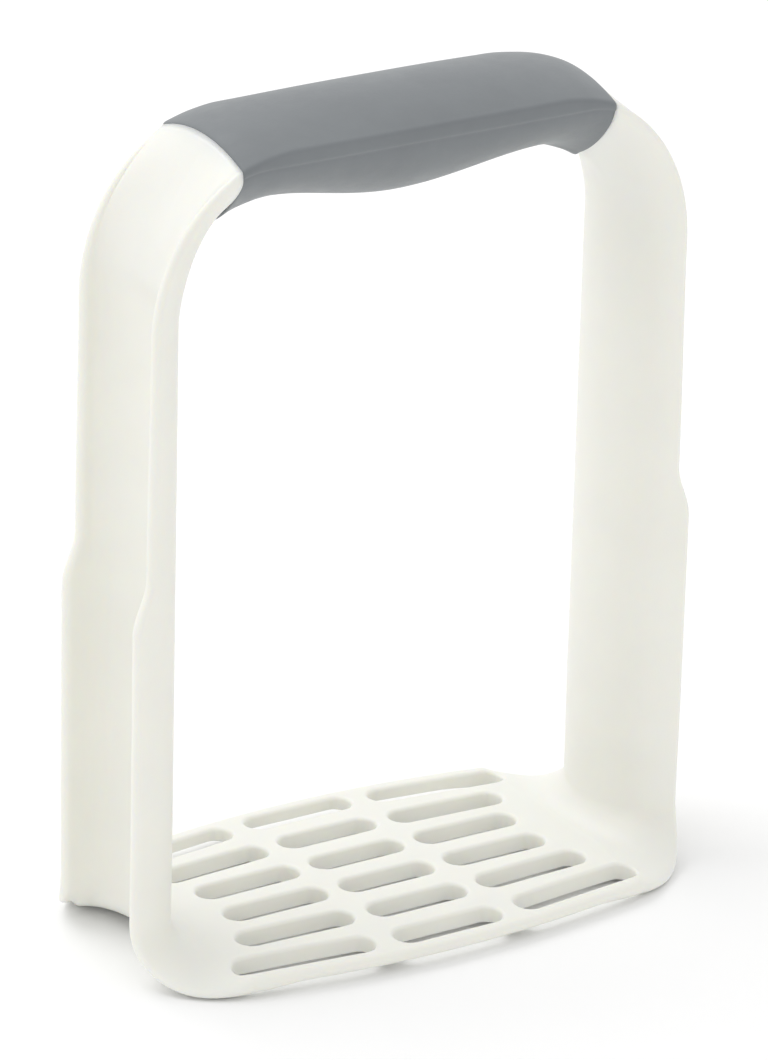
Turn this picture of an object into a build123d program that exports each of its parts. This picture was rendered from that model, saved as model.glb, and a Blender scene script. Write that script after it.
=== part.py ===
from build123d import *
import math
import os

# Potato masher: one stiff moulded frame and one soft grip moulded over its top bar.
# Millimetres. +Z is up, +X is to the right and -Y is the front. The origin is on the surface
# that the masher stands on, under the middle of the plate.

# --- driving dimensions -------------------------------------------------------------------
rim_half_depth = 17.6          # half the depth of a leg, front rim to back rim
upper_rim_x = 69.0             # outside of the leg rims above the step
lower_rim_x = 72.7             # outside of the leg rims below the step
rim_thickness = 3.2            # thickness of a leg rim
wall_thickness = 3.0           # thickness of the leg's curved wall
step_bottom_z = 85.5           # the rims step out between these two heights
step_top_z = 97.5

bar_rim_z = 187.9              # height of the arch's front and back crease along the top
corner_radius = 28.0           # outside radius of the arch's two top corners
channel_end_crown = 0.3        # rise of the arch's outside where the channel ends
leg_section_depth = 11.5       # depth of the leg section, from its rims to the hand side
bottom_bend_radius = 13.0      # outside radius where the legs turn under
leg_bottom_z = 3.0             # the legs end inside the plate

plate_top_z = 6.2              # top of the plate at its middle
plate_thickness = 4.1          # at its middle
plate_half_width_mid = 40.2    # half the plate's depth at its middle
plate_corner_x = 52.0          # where the long edge turns into the corner
plate_corner_y = 34.7
plate_corner_bulge = 3.24      # rise of a corner's arc over its chord
dome_radius = 780.0            # the plate's top is slightly domed from front to back

slot_width = 7.4
slot_row_pitch = 13.2

foot_inner_x = 54.0            # the feet run from here out to the legs
foot_height = 5.0

grip_half_length = 47.6        # the grip ends on two planes across the bar
grip_crown = 9.7               # rise of the grip's top over the crease at its middle
grip_belly = 15.1              # drop of the grip's underside below the crease at its middle

core_half_length = 49.0        # the frame's bar inside the grip
core_half_depth = 13.6
core_crown = 2.5
core_depth = 7.0
core_rim_z = 186.9
key_hole_radius = 2.5          # holes in the bar that the grip is keyed through
key_hole_x = (-28.0, 0.0, 28.0)

# --- values worked out from them ----------------------------------------------------------
corner_centre_x = upper_rim_x - corner_radius
corner_centre_z = bar_rim_z - corner_radius
channel_top_angle = 30.0       # the leg's channel ends this far round the corner from the top


def arch_section(plane, crown, depth, half_width=rim_half_depth, edge=2.0, nose=8.5, lift=1.8):
    """Closed section of the arch: crowned outside, two slanted faces, rounded hand side."""
    with BuildSketch(plane) as sketch:
        with BuildLine():
            ThreePointArc((-half_width, 0), (0, crown), (half_width, 0))
            Line((half_width, 0), (half_width, -edge))
            Line((half_width, -edge), (nose, lift - depth))
            ThreePointArc((nose, lift - depth), (0, -depth), (-nose, lift - depth))
            Line((-nose, lift - depth), (-half_width, -edge))
            Line((-half_width, -edge), (-half_width, 0))
        make_face()
    return sketch.sketch.face()


def bar_plane(x, z=bar_rim_z):
    """Section plane across the top bar at x."""
    return Plane(origin=(x, 0, z), x_dir=(0, 1, 0), z_dir=(1, 0, 0))


def corner_plane(side, angle):
    """Section plane at an angle round a top corner, measured from the bar towards the leg."""
    turn = math.radians(angle)
    across = side * math.sin(turn)
    up = math.cos(turn)
    origin = (side * corner_centre_x + corner_radius * across, 0, corner_centre_z + corner_radius * up)
    tangent = (up, 0, -across)
    return Plane(origin=origin, x_dir=(0, 1, 0), z_dir=tangent)


def leg_plane(side, z):
    """Section plane across a leg at height z, with the outside of the leg as its second axis."""
    return Plane(origin=(side * upper_rim_x, 0, z), x_dir=(0, 1, 0), z_dir=(0, 0, -side))


def corner_axis(side):
    """Axis that a top corner turns about."""
    return Axis((side * corner_centre_x, 0, corner_centre_z), (0, 1, 0))


def top_bar():
    """Top of the arch, grip included, from one corner's channel end to the other's."""
    end_left = arch_section(corner_plane(-1, channel_top_angle), channel_end_crown, leg_section_depth)
    end_right = arch_section(corner_plane(1, channel_top_angle), channel_end_crown, leg_section_depth)
    shoulder_left = arch_section(corner_plane(-1, 15), 5.4, 10.6)
    shoulder_right = arch_section(corner_plane(1, 15), 5.4, 10.6)
    stations = []
    for x, crown, depth in ((-38, 7.8, 10.8), (-20, 9.2, 12.8), (0, grip_crown, grip_belly),
                            (20, 9.2, 12.8), (38, 7.8, 10.8)):
        stations.append(arch_section(bar_plane(x), crown, depth))
    return Solid.make_loft([face.outer_wire() for face in
                            [end_left, shoulder_left, *stations, shoulder_right, end_right]])


def corner(side):
    """One rounded top corner of the arch, from the end of the bar to the top of the leg."""
    section = arch_section(leg_plane(side, corner_centre_z), channel_end_crown, leg_section_depth)
    turn = 90 - channel_top_angle
    return revolve(section, axis=corner_axis(side), revolution_arc=-side * turn)


def leg(side):
    """One leg as a closed bar, before its channel is cut."""
    section = arch_section(leg_plane(side, corner_centre_z), channel_end_crown, leg_section_depth)
    return extrude(section, amount=corner_centre_z - leg_bottom_z, dir=(0, 0, -1))


def rim_steps(side):
    """The outer strips that make both rims of a leg wider below the step."""
    inner_x = upper_rim_x - 2.0
    profile = Polyline((side * inner_x, 1.0), (side * lower_rim_x, 1.0), (side * lower_rim_x, step_bottom_z),
                       (side * upper_rim_x, step_top_z), (side * inner_x, step_top_z), close=True)
    strips = Part()
    for end in (-1, 1):
        middle_y = end * (rim_half_depth - rim_thickness / 2)
        face = Plane.XZ.offset(-middle_y) * make_face(profile)
        strips += extrude(face, amount=rim_thickness / 2, both=True)
    return strips


def channel_section(plane):
    """Section of the channel in the outside of a leg."""
    side_y = rim_half_depth - rim_thickness
    floor = wall_thickness - leg_section_depth
    with BuildSketch(plane) as sketch:
        with BuildLine():
            Polyline((6.8, floor + 1.2), (side_y, -0.8), (side_y, 8.0), (-side_y, 8.0),
                     (-side_y, -0.8), (-6.8, floor + 1.2))
            ThreePointArc((-6.8, floor + 1.2), (0, floor), (6.8, floor + 1.2))
        make_face()
    return sketch.sketch.face()


def channel(side):
    """The whole channel of one leg: open at the foot, carried part of the way round the corner."""
    section = channel_section(leg_plane(side, corner_centre_z))
    straight = extrude(section, amount=corner_centre_z + 1.0, dir=(0, 0, -1))
    turn = 90 - channel_top_angle
    bend = revolve(section, axis=corner_axis(side), revolution_arc=-side * turn)
    return straight + bend


def plate_outline():
    """Plan of the plate: two bulging long edges and four large round corners."""
    x0, y0 = plate_corner_x, plate_corner_y
    x1, y1 = lower_rim_x, rim_half_depth
    length = math.hypot(x1 - x0, y1 - y0)
    mid_x = (x0 + x1) / 2 + plate_corner_bulge * (y0 - y1) / length
    mid_y = (y0 + y1) / 2 + plate_corner_bulge * (x1 - x0) / length
    with BuildSketch() as sketch:
        with BuildLine():
            for v in (1, -1):
                ThreePointArc((-x0, v * y0), (0, v * plate_half_width_mid), (x0, v * y0))
                for u in (1, -1):
                    ThreePointArc((u * x0, v * y0), (u * mid_x, v * mid_y), (u * x1, v * y1))
            Line((x1, y1), (x1, -y1))
            Line((-x1, y1), (-x1, -y1))
        make_face()
    return sketch.sketch.face()


def domed_sheet():
    """The plate's sheet, domed on top and flat underneath, larger than the plate."""
    reach = 60.0
    edge_z = plate_top_z - reach ** 2 / (2 * dome_radius)
    bottom_z = plate_top_z - plate_thickness
    with BuildSketch(Plane.YZ) as sketch:
        with BuildLine():
            ThreePointArc((-reach, edge_z), (0, plate_top_z), (reach, edge_z))
            Line((reach, edge_z), (reach, bottom_z))
            Line((reach, bottom_z), (-reach, bottom_z))
            Line((-reach, bottom_z), (-reach, edge_z))
        make_face()
    return extrude(sketch.sketch.face(), amount=100, both=True)


def plate(outline):
    """The mashing plate without its slots."""
    return extrude(outline, amount=20) & domed_sheet()


def feet(outline):
    """The rims carried round the four corners of the plate as feet."""
    inner = offset(outline, -rim_thickness).face()
    ring = extrude(outline, amount=foot_height) - extrude(inner, amount=foot_height)
    middle = Box(2 * foot_inner_x, 200, 40)
    return ring - middle


def slot_plan():
    """Centre, length and tilt of every slot, one entry for each."""
    rows = ((12.1, (16.1, 6.4), (42.5, 6.2)),
            (12.7, (16.9, 19.3), (46.1, 17.7)),
            (13.9, (19.0, 32.3), (53.2, 28.2)))
    plan = []
    for index, (half_length, inner, outer) in enumerate(rows):
        y = (index + 0.5) * slot_row_pitch
        length = math.dist(inner, outer)
        tilt = math.degrees(math.atan2(outer[1] - inner[1], outer[0] - inner[0]))
        middle = ((inner[0] + outer[0]) / 2, (inner[1] + outer[1]) / 2)
        for v in (1, -1):
            plan.append(((0, v * y), 2 * half_length, 0))
            for u in (1, -1):
                plan.append(((u * middle[0], v * middle[1]), length, u * v * tilt))
    return plan


def slots():
    """Cutters for all the slots."""
    cutters = Part()
    for (x, y), length, tilt in slot_plan():
        shape = Pos(x, y) * Rot(0, 0, tilt) * SlotOverall(length, slot_width)
        cutters += extrude(shape, amount=20)
    return cutters


def bottom_bend(side):
    """What is taken off outside the round bend at the foot of a leg."""
    reach = bottom_bend_radius
    centre_x = lower_rim_x - reach
    block = Pos(side * (centre_x + reach), 0, 0) * Box(2 * reach, 200, 2 * reach)
    roller = Pos(side * centre_x, 0, reach) * Rot(90, 0, 0) * Cylinder(reach, 200)
    return block - roller


def grip_core():
    """The frame's bar inside the grip, with the holes that key the grip."""
    plane = bar_plane(-core_half_length, core_rim_z)
    section = arch_section(plane, core_crown, core_depth, half_width=core_half_depth, edge=1.0, nose=6.5, lift=1.2)
    bar = extrude(section, amount=2 * core_half_length, dir=(1, 0, 0))
    for x in key_hole_x:
        bar -= Pos(x, 0, core_rim_z) * Cylinder(key_hole_radius, 40)
    return bar


def make_pieces():
    arch = Part() + top_bar()
    for side in (-1, 1):
        arch += corner(side)
        arch += leg(side)
        arch += rim_steps(side)
    grip_space = Box(2 * grip_half_length, 200, 400)
    core = grip_core()
    grip = (arch & grip_space & (Pos(0, 0, 200) * Box(200, 200, 100))) - core

    outline = plate_outline()
    frame = (arch - (Pos(0, 0, 200) * Box(2 * grip_half_length, 200, 100))) + core
    frame += plate(outline) - slots()
    frame += feet(outline)
    for side in (-1, 1):
        frame -= channel(side)
        frame -= bottom_bend(side)
    return {"frame": frame, "grip": grip}


os.makedirs("parts", exist_ok=True)
for name, piece in make_pieces().items():
    export_step(piece, f"parts/{name}.step")
    box = piece.bounding_box()
    print(name, len(piece.solids()), round(piece.volume), box.min, box.max)
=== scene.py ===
import math
import bmesh
import bpy
import numpy as np
from mathutils import Matrix, Vector
from mathutils.bvhtree import BVHTree
from mathutils.geometry import delaunay_2d_cdt


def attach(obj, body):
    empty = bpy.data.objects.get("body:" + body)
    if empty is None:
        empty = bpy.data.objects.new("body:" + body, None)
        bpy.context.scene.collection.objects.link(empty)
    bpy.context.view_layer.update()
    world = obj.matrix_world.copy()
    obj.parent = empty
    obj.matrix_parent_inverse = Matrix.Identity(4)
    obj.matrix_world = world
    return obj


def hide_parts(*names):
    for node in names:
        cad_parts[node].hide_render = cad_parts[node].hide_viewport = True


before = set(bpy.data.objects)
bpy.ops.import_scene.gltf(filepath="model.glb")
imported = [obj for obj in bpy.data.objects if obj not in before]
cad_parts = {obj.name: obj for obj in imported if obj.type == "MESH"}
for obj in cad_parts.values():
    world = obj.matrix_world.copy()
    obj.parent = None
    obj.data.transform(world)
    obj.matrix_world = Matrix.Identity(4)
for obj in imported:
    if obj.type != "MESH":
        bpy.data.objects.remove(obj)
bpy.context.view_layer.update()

# Lengths are in millimetres here, in the CAD frame. Meshes are scaled to metres when they are made.
MM = 0.001

# --- the moulded sheet: its hand side follows the spine, its two edges follow the rim line ----
PLATE_TOP_Z = 6.2               # at its middle
DOME_ALONG = 1.2e-4             # drop of the plate's top towards its ends, over x squared
DOME_ACROSS = 6.4e-4            # and towards its long edges, over y squared
SHEET = 3.1                     # thickness of the sheet and of its rims
LEG_INNER_X = 57.3              # hand side of a leg
BEND_RADIUS = 5.5               # fillet between the hand side of a leg and the plate
UPPER_RIM_X = 68.7              # outside of the rims at the top of a leg
MIDDLE_RIM_X = 69.3             # just above the step
LOWER_RIM_X = 72.6              # below the step
STEP_Z = (85.0, 97.5)           # the rims step out going down, between these heights
RIM_HALF_DEPTH = 17.55          # half the depth of the arch, front rim to back rim
FOOT_DEPTH = 3.2                # how far the foot swells below the bend
FOOT_EDGE = 0.55                # extra half-thickness of the edge at the plate's corners
FOOT_EDGE_X = (38.0, 51.0)      # that thickness grows between these places
PLATE_SWELL = 1.3               # extra thickness of the plate at its middle
FOOT_BLEND_Z = 50.0             # a leg's sections lie level from here up
CORNER_BLEND_Z = 105.0          # and begin to tilt into the top corner from here
ANKLE_Z = (12.0, 40.0)          # a leg is a little narrower at the lower of these heights
ANKLE_NARROWING = 0.25          # by this much on each side

EDGE_RADIUS = 250.0             # plan radius of the plate's long edges
PLATE_HALF_DEPTH = 40.1
EDGE_END_X = 52.0               # the long edges turn into the rounded corners here
CORNER_CENTRE = (46.1, 7.3)     # plan centre of the plate's rounded corners
CORNER_PLAN_RADIUS = 27.9
# middle of the rim, as a cubic curve in x and z, from the plate's edge round to the leg
CORNER_PATH = ((51.6, 3.55), (59.5, 2.0), (71.0, -1.6), (71.05, 14.0))
BEND_START_X = LEG_INNER_X - BEND_RADIUS
BEND_TILT = math.atan(2 * DOME_ALONG * BEND_START_X)
BEND_TOP_Z = PLATE_TOP_Z - DOME_ALONG * BEND_START_X ** 2 + BEND_RADIUS

INNER_CORNER = (33.8, 153.7)    # the arch's inner top corner
INNER_RADIUS = 23.5
OUTER_CORNER = (40.6, 152.9)    # the rim line's top corner, an ellipse
OUTER_REACH = (28.1, 35.0)      # half-axes of that ellipse

GRIP_END_X = 47.6               # the grip's ends at the rim line
GRIP_END_SLANT = 0.2            # they slant out by this much below it
BELLY = 4.4                     # how far the grip's underside swells at its middle
BELLY_END_X = 37.3              # where that swell ends
HEEL = 1.2                      # how far it swells at its ends
HEEL_START_X = 38.0             # where that swell begins
KEEL = 1.0                      # a further drop, even all along
KEEL_FADE_X = 40.0              # up to here, and gone at the ends
CROWN_MIDDLE = 8.3              # rise of the grip's top over the rim line
CROWN_END = 5.1                 # and at its ends
CREASE_RADIUS = 0.9             # rounding of the frame's own crease
# rounding of the grip's crease: how far in from its side and down from its top each point is
CREASE_STEPS = ((0.0, 1.0), (0.05, 0.6), (0.25, 0.22), (0.6, -0.05))
CROWN_INSET = 1.0               # the crown starts this far in from the grip's side
CROWN_LIFT = 0.22               # and this far over the top of the band
RIM_LIFT = 1.2                  # rise of the frame's own rim where it meets the grip's band
BAND = 3.5                      # height of the upright band between groove and crease
BAND_END = 1.9                  # and at the grip's ends
BAND_FADE_X = 34.0              # the band narrows from here on, and the ends' slant begins
GROOVE = 0.6                    # depth of the fine groove under the band
GROOVE_DROP = 0.3               # the groove lies this far below the rim line
# outline of the groove's upper side: how far in and how far up each point is, in groove depths
GROOVE_STEPS = ((0.5, 0.6), (0.1, 1.3), (0.0, 2.0))
LOWER_POWER = 1.6               # 2 would make the underside an ellipse, 1 a sharp keel
END_SHARPER = 0.2               # the grip's ends are this much nearer to a keel
END_SHARPER_X = (36.0, 46.0)    # the change lies between these places
CORNER_SHARPER = 0.3            # and the frame's corner beside them by this much
CORE_INSET = 3.2                # the frame's bar lies this far inside the grip
INSIDE_CLEARANCE = 0.1          # between the bar and the inside of the grip
GRIP_PROUD = 0.22               # the grip stands this far out of the arch's surface
# rounding of the grip's ends: how far from the end each ring is, and how far it stands out
END_STEPS = ((0.0, -0.55), (0.05, -0.22), (0.16, 0.0), (0.34, 0.13), (0.6, 0.2), (0.95, GRIP_PROUD))

SLOT_HALF = 3.5                 # half the width of a slot
SLOT_PITCH = 13.2               # from row to row
SLOT_TOP_RADIUS = 1.0           # rounding of a slot's edge on top of the plate
SLOT_LOW_RADIUS = 0.5           # and underneath
SLOT_MARGIN = 0.3               # flat rim kept round each slot's rounding
SLOT_TOP_REACH = SLOT_HALF + SLOT_TOP_RADIUS + SLOT_MARGIN
SLOT_LOW_REACH = SLOT_HALF + SLOT_LOW_RADIUS + SLOT_MARGIN
GRID_CLEARANCE = 0.7            # the plate's grid points keep this far from that rim
# for each row: half-length of its middle slot, and the two tips of its outer slot's centre line
SLOT_ROWS = ((12.1, (16.1, 6.4), (42.5, 6.2)),
             (12.7, (16.9, 19.3), (46.1, 17.7)),
             (13.9, (19.0, 32.3), (53.2, 28.2)))

# --- how finely the meshes are divided --------------------------------------------------------
ACROSS = 30                     # spans from the middle of the sheet to a rim
LINE = 2 * ACROSS + 1           # points from rim to rim
CAP = 7                         # points round a rim
PLATE_STATIONS = 27             # sections from the middle of the plate to a bend
BEND_STATIONS = 33              # sections round a bend
PATCH_END = PLATE_STATIONS + 13  # the slotted patch of the plate ends at this section
SLOT_END_POINTS = 15            # points round one end of a slot
SLOT_SIDE_SPANS = 8             # spans along one side of a slot
RAY_START = 60.0                # rays that find the plate's surfaces start this far from it


def smooth(x, low=0.0, high=1.0):
    """Smooth step from 0 at low to 1 at high."""
    x = min(max((x - low) / (high - low), 0.0), 1.0)
    return x * x * (3 - 2 * x)


def edge_y(x):
    """Half-depth of the plate's outline at x."""
    if x <= EDGE_END_X:
        return PLATE_HALF_DEPTH - EDGE_RADIUS + math.sqrt(EDGE_RADIUS ** 2 - x * x)
    reach = CORNER_PLAN_RADIUS ** 2 - (x - CORNER_CENTRE[0]) ** 2
    return CORNER_CENTRE[1] + math.sqrt(max(reach, 0.0))


def unit(vector):
    """A vector scaled to length 1."""
    return vector / np.hypot(*vector)


def power_curve(turn, power):
    """Quarter of a superellipse from its lowest point, as shares of its width and height."""
    across = np.sin(turn) ** (2 / power)
    up = 1 - np.clip(np.cos(turn), 0, 1) ** (2 / power)
    rounded_turn = 0.35         # the lowest stretch stays round, so that no sharp line shows
    near = np.clip(np.abs(turn) / rounded_turn, 0, 1)
    blend = near * near * (3 - 2 * near)
    return blend * across + (1 - blend) * np.sin(turn), up


class Station:
    """One section across the sheet: where its spine and rims are, and its shape between them."""

    def __init__(self, spine, rim, half, dome=0.0, straight=0.0, closed=0.0, crown=0.0,
                 crown_way=None, band=0.0, power=2.0, swell=0.0, wings=0.0, edge=0.0, grow=0.0):
        self.spine = np.array(spine, float)
        reach = np.array(rim, float) - self.spine
        self.depth = float(np.hypot(*reach))
        self.out = reach / self.depth
        self.half = half
        self.dome = dome            # 1 on the plate, 0 where the section is a U
        self.straight = straight    # length of the U's straight ends
        self.closed = closed        # 0 where the outside is a channel, 1 where it is crowned
        self.crown = crown
        self.crown_way = self.out if crown_way is None else unit(np.array(crown_way, float))
        self.band = band            # height of the upright sides over the rim line
        self.power = power          # roundness of the U
        self.swell = swell          # extra thickness at the middle
        self.wings = wings          # 1 where the swell is fullest at its two sides
        self.edge = edge            # extra half-thickness at the rims
        self.grow = grow

    def middle_line(self):
        """Middle of the sheet's thickness, from the back rim to the front one, as (y, depth)."""
        r = SHEET / 2
        v = np.linspace(-1, 1, LINE)
        turn = np.abs(v) * math.pi / 2
        bend = self.depth - 2 * r - self.straight
        ends = np.clip((turn - math.pi / 4) / (math.pi / 4), 0, 1) ** 2
        across, up = power_curve(turn, self.power)
        y = (self.half - r) * ((1 - self.dome) * across * np.sign(v) + self.dome * v)
        u_shape = bend * up + self.straight * ends
        d = r + (1 - self.dome) * u_shape + self.dome * (self.depth - 2 * r) * v * v
        return np.stack([y, d], 1)

    def swelling(self, v):
        """Extra thickness on the outside, from rim to rim."""
        even = (1 - v ** 8) ** 1.5
        winged = (0.65 + 0.9 * v * v) * (1 - v ** 6)
        return self.swell * ((1 - self.wings) * even + self.wings * winged)

    def sheet(self):
        """Hand side, two rims and outside of the section, as lists of (y, depth)."""
        v = np.linspace(-1, 1, LINE)
        line = self.middle_line()
        slope = np.gradient(line, axis=0)
        for k, way in ((0, -1.0), (-1, 1.0)):
            slope[k] = unit((1 - self.dome) * np.array([0.0, way]) + self.dome * unit(slope[k]))
        slope /= np.hypot(slope[:, 0], slope[:, 1])[:, None]
        normal = np.stack([slope[:, 1], -slope[:, 0]], 1)
        edge_start = 0.55
        extra = self.edge * np.clip((np.abs(v) - edge_start) / (1 - edge_start), 0, 1) ** 2
        half = SHEET / 2 + extra
        line = line - extra[:, None] * normal
        inner = line + half[:, None] * normal
        outer = line - (half + self.swelling(v))[:, None] * normal
        caps = []
        for k, way in ((-1, 1), (0, -1)):
            turns = np.linspace(0, math.pi, CAP + 2)[1:-1][::way, None]
            caps.append(line[k] + half[k] * (np.cos(turns) * normal[k] + np.sin(turns) * way * slope[k]))
        return inner, caps, outer

    def crowned(self, caps, outer):
        """Fills the channel by the share 'closed', up to a crown between the two creases."""
        v = np.linspace(-1, 1, LINE)
        width = self.half - CREASE_RADIUS
        base = self.depth + self.band
        crown = np.stack([width * v, base + (self.crown - self.band) * (1 - v * v)], 1)
        mixed = []
        for cap, way in zip(caps, (1, -1)):
            t = np.linspace(0, 1, CAP + 2)[1:-1][::way, None]
            start = np.array([way * self.half, self.depth - SHEET / 2])
            knee = np.array([way * self.half, base])
            stop = np.array([way * width, base])
            curve = (1 - t) ** 2 * start + 2 * t * (1 - t) * knee + t * t * stop
            mixed.append((1 - self.closed) * cap + self.closed * curve)
        return mixed, (1 - self.closed) * outer + self.closed * crown

    def ring(self):
        """The closed section as points in space: hand side, rim, outside, rim."""
        inner, caps, outer = self.sheet()
        if self.closed > 0:
            caps, outer = self.crowned(caps, outer)
        return self.place(np.concatenate([inner, caps[0], outer[::-1], caps[1]]))

    def place(self, loop):
        """Points in space for points (y, depth) of the section."""
        if self.grow:
            middle = np.array([0.0, (self.depth + self.crown) / 2])
            loop = middle + (loop - middle) * (1 + self.grow / np.array([self.half, middle[1]]))
        low = np.minimum(loop[:, 1], self.depth)[:, None]
        high = np.maximum(loop[:, 1] - self.depth, 0)[:, None]
        xz = self.spine + low * self.out + high * self.crown_way
        return np.stack([xz[:, 0], loop[:, 0], xz[:, 1]], 1)

    def grip_ring(self):
        """The grip's section: rounded underside, fine groove, upright band, crease and crown."""
        w = self.half
        knee = self.depth - GROOVE_DROP
        top = self.depth + self.band
        turn = np.linspace(-1, 1, LINE) * math.pi / 2
        across, up = power_curve(np.abs(turn), self.power)
        under = np.stack([(w - GROOVE) * across * np.sign(turn), knee * up], 1)
        side = [(w - inset * GROOVE, knee + rise * GROOVE) for inset, rise in GROOVE_STEPS]
        side = np.array(side + [(w - inset, top - drop) for inset, drop in CREASE_STEPS])
        v = np.linspace(1, -1, LINE)
        base = top + CROWN_LIFT
        crown = np.stack([(w - CROWN_INSET) * v, base + (self.depth + self.crown - base) * (1 - v * v)], 1)
        return self.place(np.concatenate([under, side, crown, side[::-1] * [-1, 1]]))


def plate_station(x):
    """A section across the plate."""
    z = PLATE_TOP_Z - DOME_ALONG * x * x
    half = edge_y(x)
    depth = DOME_ACROSS * (half - SHEET / 2) ** 2 + SHEET
    lean = 2 * DOME_ALONG * x
    return Station((x, z), (x - lean * depth, z - depth), half, dome=1.0, swell=PLATE_SWELL,
                   edge=FOOT_EDGE * smooth(x, *FOOT_EDGE_X))


def bezier(points, t):
    """Point of a cubic curve."""
    a, b, c, d = (np.array(p) for p in points)
    return (1 - t) ** 3 * a + 3 * t * (1 - t) ** 2 * b + 3 * t * t * (1 - t) * c + t ** 3 * d


def bend_station(t):
    """A section through the bend at the foot of a leg: t is 0 at the plate and 1 at the leg."""
    angle = -(math.pi / 2 + BEND_TILT) * (1 - t)
    spine = np.array([BEND_START_X + BEND_RADIUS * math.cos(angle),
                      BEND_TOP_Z + BEND_RADIUS * math.sin(angle)])
    middle = bezier(CORNER_PATH, t)
    r = SHEET / 2
    rim = middle + r * unit(middle - spine)
    inside = max((CORNER_PLAN_RADIUS - r) ** 2 - (middle[0] - CORNER_CENTRE[0]) ** 2, 0.0)
    half = CORNER_CENTRE[1] + math.sqrt(inside) + r
    swell = PLATE_SWELL + (FOOT_DEPTH - PLATE_SWELL) * smooth(t, 0.0, 0.3)
    return Station(spine, rim, half, dome=1 - smooth(t, 0, 0.8),
                   straight=(LOWER_RIM_X - UPPER_RIM_X) * smooth(t, 0.3, 1.0),
                   swell=swell * (1 - smooth(t, 0.55, 1.0)), wings=smooth(t, 0, 0.3),
                   edge=FOOT_EDGE * (1 - smooth(t, 0.35, 0.7)))


def rim_x_of_leg(z):
    """Outside of the rims of a leg at height z."""
    above = UPPER_RIM_X + (MIDDLE_RIM_X - UPPER_RIM_X) * (1 - smooth(z, STEP_Z[1], OUTER_CORNER[1]))
    return above + (LOWER_RIM_X - MIDDLE_RIM_X) * (1 - smooth(z, *STEP_Z))


def leg_station(z):
    """A section across a leg at height z on its hand side."""
    low_rise = (CORNER_PATH[-1][1] - BEND_TOP_Z) * (1 - smooth(z, BEND_TOP_Z, FOOT_BLEND_Z))
    high_drop = (INNER_CORNER[1] - OUTER_CORNER[1]) * smooth(z, CORNER_BLEND_Z, INNER_CORNER[1])
    rim_z = z + low_rise - high_drop
    rim_x = rim_x_of_leg(rim_z)
    half = RIM_HALF_DEPTH - ANKLE_NARROWING * (1 - smooth(z, *ANKLE_Z))
    return Station((LEG_INNER_X, z), (rim_x, rim_z), half, straight=rim_x - UPPER_RIM_X)


def corner_station(t):
    """A section round a top corner: t is 0 at the leg and 1 at the end of the grip."""
    inner_end = math.acos((GRIP_END_X + GRIP_END_SLANT - INNER_CORNER[0]) / INNER_RADIUS)
    outer_end = math.acos((GRIP_END_X - OUTER_CORNER[0]) / OUTER_REACH[0])
    spine = (INNER_CORNER[0] + INNER_RADIUS * math.cos(inner_end * t),
             INNER_CORNER[1] + INNER_RADIUS * math.sin(inner_end * t))
    lift = RIM_LIFT * t ** 3
    rim = (OUTER_CORNER[0] + OUTER_REACH[0] * math.cos(outer_end * t),
           OUTER_CORNER[1] + OUTER_REACH[1] * math.sin(outer_end * t) + lift)
    closed = 0.6 * t * smooth(t, 0, 0.25) + 0.4 * t ** 6
    upright = 10                # the crown's direction turns from the section's own to straight up
    way = ((1 - t) * (rim[0] - spine[0]), (1 - t) * (rim[1] - spine[1]) + t * upright)
    sharper = 2 - LOWER_POWER + CORNER_SHARPER
    return Station(spine, rim, RIM_HALF_DEPTH, closed=closed, crown=CROWN_END - lift, crown_way=way,
                   band=BAND_END * t ** 3 - lift, power=2 - sharper * smooth(t, 0.2, 1))


def bar_station(x, heel=0.0, grow=0.0):
    """A section across the top bar, whose creases are at x."""
    side = abs(x)
    spine_x = side + GRIP_END_SLANT * smooth(side, BAND_FADE_X, GRIP_END_X)
    beyond = max(spine_x - INNER_CORNER[0], 0.0)
    belly = BELLY * (1 + math.cos(math.pi * min(spine_x / BELLY_END_X, 1.0))) / 2
    spine_z = INNER_CORNER[1] + math.sqrt(INNER_RADIUS ** 2 - beyond ** 2) - belly
    spine_z -= heel * smooth(side, HEEL_START_X, GRIP_END_X)
    spine_z -= KEEL * (1 - smooth(side, KEEL_FADE_X, GRIP_END_X))
    turn = max((side - OUTER_CORNER[0]) / OUTER_REACH[0], 0.0)
    rim_z = OUTER_CORNER[1] + OUTER_REACH[1] * math.sqrt(1 - turn * turn)
    crown = CROWN_MIDDLE - (CROWN_MIDDLE - CROWN_END) * (side / GRIP_END_X) ** 3
    sign = 1 if x >= 0 else -1
    return Station((sign * spine_x, spine_z), (x, rim_z), RIM_HALF_DEPTH, closed=1.0,
                   crown=crown, crown_way=(0, 1), grow=grow,
                   power=LOWER_POWER - END_SHARPER * smooth(side, *END_SHARPER_X),
                   band=BAND - (BAND - BAND_END) * smooth(side, BAND_FADE_X, GRIP_END_X))


def frame_rings():
    """Rings all the way round the frame, starting in the middle of the plate and going right."""
    stations = [plate_station(x) for x in np.linspace(0, BEND_START_X - 0.5, PLATE_STATIONS)]
    stations += [bend_station(t) for t in np.linspace(0, 1, BEND_STATIONS)]
    heights = [*np.linspace(BEND_TOP_Z + 0.9, 30, 13), *np.linspace(35, 80, 9),
               *np.linspace(82.5, 100, 18), *np.linspace(105, 152, 10)]
    stations += [leg_station(z) for z in heights]
    stations += [corner_station(t) for t in np.linspace(0, 1, 36)]
    stations += [bar_station(x, grow=-CORE_INSET) for x in np.linspace(GRIP_END_X - 0.1, 0, 14)]
    rings = [station.ring() for station in stations]
    return rings + [ring * [-1, 1, 1] for ring in rings[1:-1][::-1]]


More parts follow.
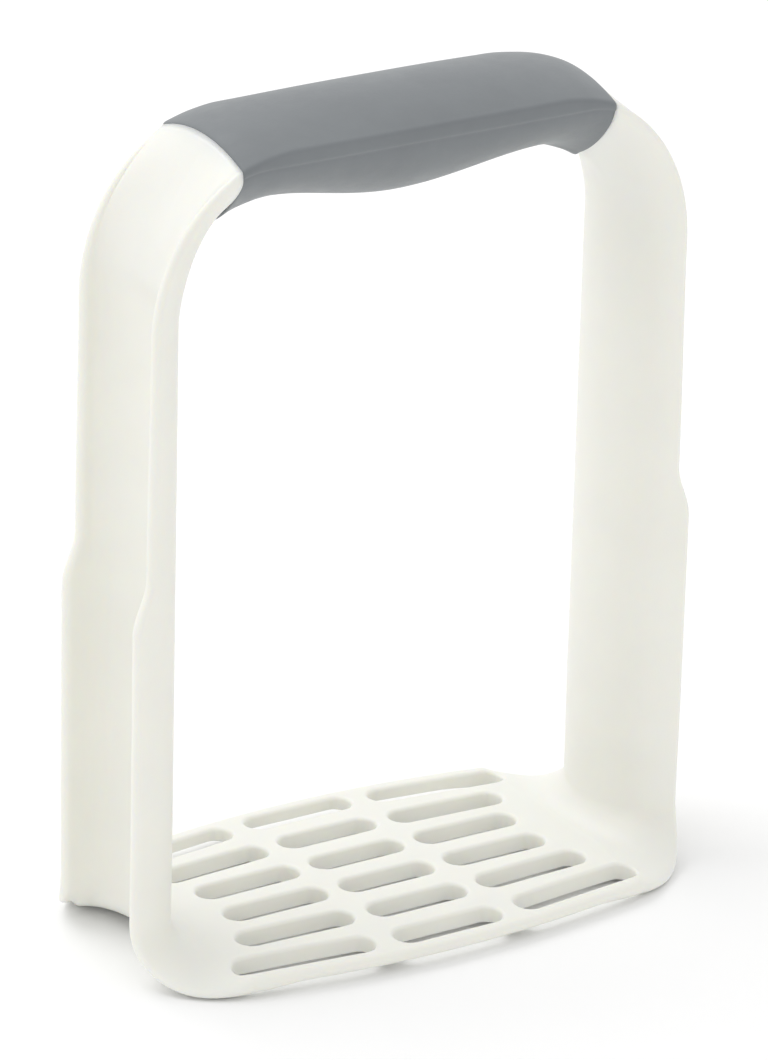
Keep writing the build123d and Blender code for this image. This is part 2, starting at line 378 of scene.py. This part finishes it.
def grip_rings():
    """Rings along the outside of the grip and back along its inside."""
    rings = [bar_station(inset - GRIP_END_X, HEEL, proud).grip_ring() for inset, proud in END_STEPS]
    rings += [bar_station(x, HEEL, GRIP_PROUD).grip_ring() for x in np.linspace(-46, 46, 93)]
    rings += [bar_station(GRIP_END_X - inset, HEEL, proud).grip_ring() for inset, proud in END_STEPS[::-1]]
    inside = np.linspace(GRIP_END_X - 0.2, 0.2 - GRIP_END_X, 24)
    return rings + [bar_station(x, 0.0, INSIDE_CLEARANCE - CORE_INSET).grip_ring() for x in inside]


def slot_lines():
    """Ends of the centre line of every slot."""
    lines = []
    for row, (half_length, tip_a, tip_b) in enumerate(SLOT_ROWS):
        y = (row + 0.5) * SLOT_PITCH
        for v in (1, -1):
            reach = half_length - SLOT_HALF
            lines.append((np.array([-reach, v * y]), np.array([reach, v * y])))
            for u in (1, -1):
                a = np.array(tip_a) * [u, v]
                b = np.array(tip_b) * [u, v]
                way = unit(b - a)
                lines.append((a + SLOT_HALF * way, b - SLOT_HALF * way))
    return lines


def slot_outline(line, radius):
    """Points round a slot, at a distance from its centre line."""
    a, b = line
    way = unit(b - a)
    side = np.array([-way[1], way[0]])
    points = []
    for centre, facing in ((b, 1), (a, -1)):
        for angle in np.linspace(-math.pi / 2, math.pi / 2, SLOT_END_POINTS):
            points.append(centre + radius * facing * (math.cos(angle) * way + math.sin(angle) * side))
        other = a if facing > 0 else b
        for share in np.linspace(0, 1, SLOT_SIDE_SPANS + 1)[1:-1]:
            points.append(centre + share * (other - centre) + radius * facing * side)
    return np.array(points)


def distance_to_slot(points, line):
    """Distance of points from a slot's centre line."""
    a, b = line
    way = b - a
    share = np.clip(((points - a) @ way) / (way @ way), 0, 1)
    return np.hypot(*(points - a - share[:, None] * way).T)


def inside_polygon(points, polygon):
    """Which points lie inside a closed outline."""
    inside = np.zeros(len(points), bool)
    for a, b in zip(polygon, np.roll(polygon, -1, axis=0)):
        crosses = (a[1] > points[:, 1]) != (b[1] > points[:, 1])
        span = b[1] - a[1] if b[1] != a[1] else 1.0
        inside ^= crosses & (points[:, 0] < (b[0] - a[0]) * (points[:, 1] - a[1]) / span + a[0])
    return inside


class Shell:
    """A mesh being made: its points and its faces."""

    def __init__(self):
        self.points = []
        self.faces = []

    def add(self, points):
        """Takes points in, and gives their indices."""
        first = len(self.points)
        self.points.extend(np.asarray(points, float))
        return np.arange(first, len(self.points))

    def strip(self, row, next_row, places=None):
        """Quads between two closed rows of points, all the way round or at some places only."""
        for j in places or range(len(row)):
            k = (j + 1) % len(row)
            self.faces.append((row[j], row[k], next_row[k], next_row[j]))

    def make(self, name, material):
        """The finished object, with unused points dropped and every face turned outwards."""
        used = sorted({index for face in self.faces for index in face})
        place = {index: k for k, index in enumerate(used)}
        faces = [tuple(place[index] for index in face) for face in self.faces]
        mesh = bpy.data.meshes.new(name)
        mesh.from_pydata([tuple(self.points[index] * MM) for index in used], [], faces)
        work = bmesh.new()
        work.from_mesh(mesh)
        bmesh.ops.recalc_face_normals(work, faces=work.faces)
        work.to_mesh(mesh)
        work.free()
        mesh.shade_smooth()
        mesh.materials.append(material)
        piece = bpy.data.objects.new(name, mesh)
        bpy.context.collection.objects.link(piece)
        return piece


def patch_faces(shell, rows, outline, slot_rings, lines, reach):
    """Faces of one side of the slotted patch, over its grid points and round its slots."""
    grid = np.concatenate(rows)
    flat = np.array([shell.points[index][:2] for index in grid])
    clear = np.ones(len(grid), bool)
    for line in lines:
        clear &= distance_to_slot(flat, line) > reach + GRID_CLEARANCE
    keep = sorted(set(grid[clear]) | set(outline))
    index_of = {index: k for k, index in enumerate(keep)}
    loops = [[index_of[index] for index in outline]]
    for ring in slot_rings:
        loops.append(list(range(len(keep), len(keep) + len(ring))))
        keep.extend(ring)
    edges = [(a, b) for loop in loops for a, b in zip(loop, loop[1:] + loop[:1])]
    plan = [Vector(shell.points[index][:2]) for index in keep]
    _, _, triangles, sources, _, _ = delaunay_2d_cdt(plan, edges, [], 0, 1e-6)
    flat = np.array([tuple(point) for point in plan])
    corners = np.array([[sources[corner][0] for corner in triangle] for triangle in triangles])
    centres = flat[corners].mean(axis=1)
    wanted = inside_polygon(centres, flat[loops[0]])
    for line, loop in zip(lines, loops[1:]):
        wanted &= ~inside_polygon(centres, flat[loop])
    shell.faces.extend(tuple(keep[corner] for corner in triangle) for triangle in corners[wanted])


def surface_z(surface, x, y, side):
    """Height of the plate's top (side 1) or underside (side -1) at a point."""
    hit = surface.ray_cast(Vector((x, y, side * RAY_START)), Vector((0, 0, -side)))
    return hit[0].z


def slot_profile():
    """Section of a slot's wall: distance from its centre line, side of the plate, depth below it."""
    rounding = [(1 - math.sin(turn), 1 - math.cos(turn)) for turn in np.linspace(0, math.pi / 2, 6)]
    profile = [(SLOT_TOP_REACH, 1, 0.0)]
    profile += [(SLOT_HALF + SLOT_TOP_RADIUS * out, 1, SLOT_TOP_RADIUS * down) for out, down in rounding]
    profile += [(SLOT_HALF + SLOT_LOW_RADIUS * out, -1, SLOT_LOW_RADIUS * up) for up, out in rounding]
    return profile + [(SLOT_LOW_REACH, -1, 0.0)]


def add_slots(shell, surface, lines):
    """Rounded walls of every slot, and the rings of points where they meet the plate."""
    top_rings = []
    low_rings = []
    for line in lines:
        rows = []
        for radius, side, depth in slot_profile():
            flat = slot_outline(line, radius)
            points = [(x, y, surface_z(surface, x, y, side) - side * depth) for x, y in flat]
            rows.append(shell.add(points))
        for row, next_row in zip(rows, rows[1:]):
            shell.strip(row, next_row)
        top_rings.append(rows[0])
        low_rings.append(rows[-1])
    return top_rings, low_rings


def plate_surface(shell, rows):
    """The plate without its slots, as something to cast rays at."""
    plain = Shell()
    for k in range(-PLATE_STATIONS - BEND_STATIONS, PLATE_STATIONS + BEND_STATIONS):
        plain.strip(rows[k % len(rows)], rows[(k + 1) % len(rows)])
    return BVHTree.FromPolygons([tuple(point) for point in shell.points], plain.faces)


def grid_outline(grid):
    """Indices round the border of a grid of points."""
    outline = [row[0] for row in grid] + list(grid[-1][1:-1])
    return outline + [row[-1] for row in grid[::-1]] + list(grid[0][1:-1][::-1])


def build_frame(material):
    """The moulded frame: a closed loop of rings, with the slotted patch let into the plate."""
    shell = Shell()
    rows = [shell.add(ring) for ring in frame_rings()]
    count = len(rows)
    patch = [k % count for k in range(-PATCH_END, PATCH_END + 1)]
    inner = slice(0, LINE)
    outer = slice(LINE + CAP, 2 * LINE + CAP)
    for k in range(count):
        row, next_row = rows[k], rows[(k + 1) % count]
        if k in patch[:-1]:
            shell.strip(row, next_row, range(LINE - 1, LINE + CAP))
            shell.strip(row, next_row, range(2 * LINE + CAP - 1, len(row)))
        else:
            shell.strip(row, next_row)
    lines = slot_lines()
    top_rings, low_rings = add_slots(shell, plate_surface(shell, rows), lines)
    for part, slot_rings, reach in ((inner, top_rings, SLOT_TOP_REACH), (outer, low_rings, SLOT_LOW_REACH)):
        grid = [rows[k][part] for k in patch]
        patch_faces(shell, grid, grid_outline(grid), slot_rings, lines, reach)
    return shell.make("frame_shell", material)


def build_grip(material):
    """The soft grip: rings along its outside and back along its inside."""
    shell = Shell()
    rows = [shell.add(ring) for ring in grip_rings()]
    for k, row in enumerate(rows):
        shell.strip(row, rows[(k + 1) % len(rows)])
    return shell.make("grip_shell", material)


# --- materials ----------------------------------------------------------------------------

class Shader:
    """A Principled material being wired up."""

    def __init__(self, name, **values):
        self.material = bpy.data.materials.new(name)
        self.material.use_nodes = True
        self.tree = self.material.node_tree
        self.bsdf = self.tree.nodes["Principled BSDF"]
        for socket, value in values.items():
            self.bsdf.inputs[socket.replace("_", " ")].default_value = value
        self.place = self.tree.nodes.new("ShaderNodeTexCoord").outputs["Object"]

    def noise(self, scale, detail=3.0, roughness=0.5):
        """A noise pattern over the object; its scale is in cells per metre."""
        node = self.tree.nodes.new("ShaderNodeTexNoise")
        node.inputs["Scale"].default_value = scale
        node.inputs["Detail"].default_value = detail
        node.inputs["Roughness"].default_value = roughness
        self.tree.links.new(self.place, node.inputs["Vector"])
        return node.outputs["Fac"]

    def ramp(self, source, *stops):
        """Colours or levels picked by a pattern."""
        node = self.tree.nodes.new("ShaderNodeValToRGB")
        elements = node.color_ramp.elements
        while len(elements) < len(stops):
            elements.new(0.5)
        for element, (position, color) in zip(elements, stops):
            element.position = position
            element.color = (*color, 1) if isinstance(color, tuple) else (color, color, color, 1)
        self.tree.links.new(source, node.inputs["Fac"])
        return node.outputs["Color"]

    def link(self, source, socket):
        """Drives a socket of the shader."""
        self.tree.links.new(source, self.bsdf.inputs[socket])

    def bump(self, *layers):
        """Fine relief from patterns, each with its height in metres."""
        normal = None
        for source, height in layers:
            node = self.tree.nodes.new("ShaderNodeBump")
            node.inputs["Strength"].default_value = 1.0
            node.inputs["Distance"].default_value = height
            self.tree.links.new(source, node.inputs["Height"])
            if normal:
                self.tree.links.new(normal, node.inputs["Normal"])
            normal = node.outputs["Normal"]
        self.link(normal, "Normal")


def nylon():
    """Warm white moulded nylon: slightly cloudy, satin, with a fine eggshell grain."""
    shader = Shader("frame_nylon", Subsurface_Weight=0.35, Subsurface_Scale=0.003, IOR=1.5,
                    Specular_IOR_Level=0.42)
    shader.bsdf.inputs["Subsurface Radius"].default_value = (1.0, 0.82, 0.45)
    cloud = shader.noise(55, 4, 0.55)
    tint = shader.ramp(cloud, (0.3, (0.835, 0.835, 0.785)), (0.7, (0.855, 0.855, 0.805)))
    shader.link(tint, "Base Color")
    shader.link(shader.ramp(shader.noise(160, 5, 0.6), (0.3, 0.36), (0.7, 0.48)), "Roughness")
    shader.bump((shader.noise(28, 2, 0.4), 0.00018), (shader.noise(1900, 3, 0.6), 0.000012))
    return shader.material


def elastomer():
    """Blue-grey soft grip: matte, with a fine grain and faint handling marks."""
    shader = Shader("grip_elastomer", IOR=1.46, Specular_IOR_Level=0.5, Sheen_Weight=0.2,
                    Sheen_Roughness=0.5)
    cloud = shader.noise(70, 5, 0.6)
    tint = shader.ramp(cloud, (0.3, (0.175, 0.189, 0.2)), (0.7, (0.19, 0.206, 0.217)))
    shader.link(tint, "Base Color")
    shader.link(shader.ramp(shader.noise(240, 5, 0.65), (0.3, 0.5), (0.7, 0.62)), "Roughness")
    shader.bump((shader.noise(40, 2, 0.4), 0.00012), (shader.noise(1500, 4, 0.65), 0.00003))
    return shader.material


def paper():
    """White studio paper with a faint tooth."""
    shader = Shader("floor_paper", Specular_IOR_Level=0.1)
    shader.link(shader.ramp(shader.noise(3, 3), (0.35, 0.965), (0.65, 0.975)), "Base Color")
    shader.link(shader.ramp(shader.noise(300, 3), (0.3, 0.9), (0.7, 0.97)), "Roughness")
    shader.bump((shader.noise(900, 3), 0.00001))
    return shader.material


# --- stage ----------------------------------------------------------------------------------

def add_floor():
    """A flat paper floor under the masher, in metres."""
    half_size = 3.0
    count = 9
    steps = np.linspace(-half_size, half_size, count)
    points = [(x, y, 0.0) for y in steps for x in steps]
    corners = [row * count + column for row in range(count - 1) for column in range(count - 1)]
    faces = [(k, k + 1, k + count + 1, k + count) for k in corners]
    mesh = bpy.data.meshes.new("floor")
    mesh.from_pydata(points, [], faces)
    mesh.materials.append(paper())
    floor = bpy.data.objects.new("floor", mesh)
    bpy.context.collection.objects.link(floor)


def add_light(name, place, aim, size, power):
    """A square soft light, facing a point."""
    lamp = bpy.data.lights.new(name, "AREA")
    lamp.size = size
    lamp.energy = power
    light = bpy.data.objects.new(name, lamp)
    light.location = place
    light.rotation_euler = (Vector(aim) - Vector(place)).to_track_quat("-Z", "Y").to_euler()
    bpy.context.collection.objects.link(light)


def add_world(strength):
    """Even white light from all round."""
    world = bpy.data.worlds.new("studio")
    world.use_nodes = True
    back = world.node_tree.nodes["Background"]
    back.inputs["Color"].default_value = (1, 1, 1, 1)
    back.inputs["Strength"].default_value = strength
    bpy.context.scene.world = world


def add_camera():
    """A long lens that looks down on the masher from its front left, with a slight roll."""
    azimuth = math.radians(-32.07)
    elevation = math.radians(23.14)
    roll = math.radians(1.48)
    distance = 1.454
    lens = 220.5
    back = Vector((math.sin(azimuth) * math.cos(elevation), -math.cos(azimuth) * math.cos(elevation),
                   math.sin(elevation)))
    right = Vector((math.cos(azimuth), math.sin(azimuth), 0))
    up = back.cross(right)
    side = math.cos(roll) * right + math.sin(roll) * up
    top = math.cos(roll) * up - math.sin(roll) * right
    aim = Vector((0, 0, 0.0962)) + 0.00063 * side - 0.00607 * top
    camera = bpy.data.objects.new("camera", bpy.data.cameras.new("camera"))
    camera.data.sensor_width = 36
    camera.data.lens = lens
    pose = Matrix((side, top, back)).transposed().to_4x4()
    pose.translation = aim + distance * back
    camera.matrix_world = pose
    bpy.context.collection.objects.link(camera)
    bpy.context.scene.camera = camera


for piece, name, slot in ((build_frame(nylon()), "frame", "frame_nylon"),
                          (build_grip(elastomer()), "grip", "grip_elastomer")):
    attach(piece, "root")
    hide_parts(name)
add_floor()
add_world(0.88)
add_light("sky", (-0.5, 0.9, 1.9), (0, 0, 0.05), 1.6, 15)
add_camera()
bpy.context.scene.view_settings.view_transform = "Standard"
